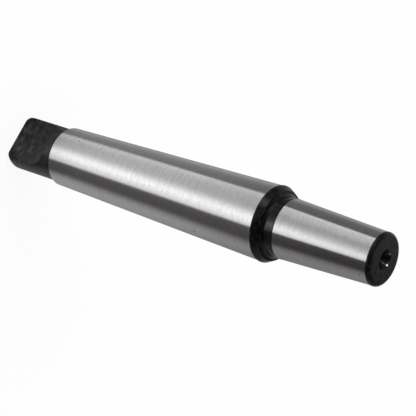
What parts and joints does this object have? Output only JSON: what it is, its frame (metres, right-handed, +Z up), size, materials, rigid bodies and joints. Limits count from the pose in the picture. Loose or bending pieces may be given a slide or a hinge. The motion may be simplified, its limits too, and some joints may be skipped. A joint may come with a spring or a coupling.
{
  "type": "drill chuck arbor",
  "caption": "One-piece steel arbor with a long ground taper and milled tang for a machine spindle, and a short ground taper that carries a drill chuck.",
  "frame": {"origin": "centre of the tang's end face, on the plane that the arbor stands on", "axes": "+Z up the axis from the tang to the short taper's face, X across the width of the tang's flats, Y normal to the flats"},
  "size_m": [0.0184, 0.0184, 0.1101],
  "materials": {
    "arbor_steel": "fine ground steel on both tapers, satin black oxide on tang, collar, neck and end face"
  },
  "bodies": {
    "root": {"arbor": "arbor_steel"}
  },
  "joints": []
}
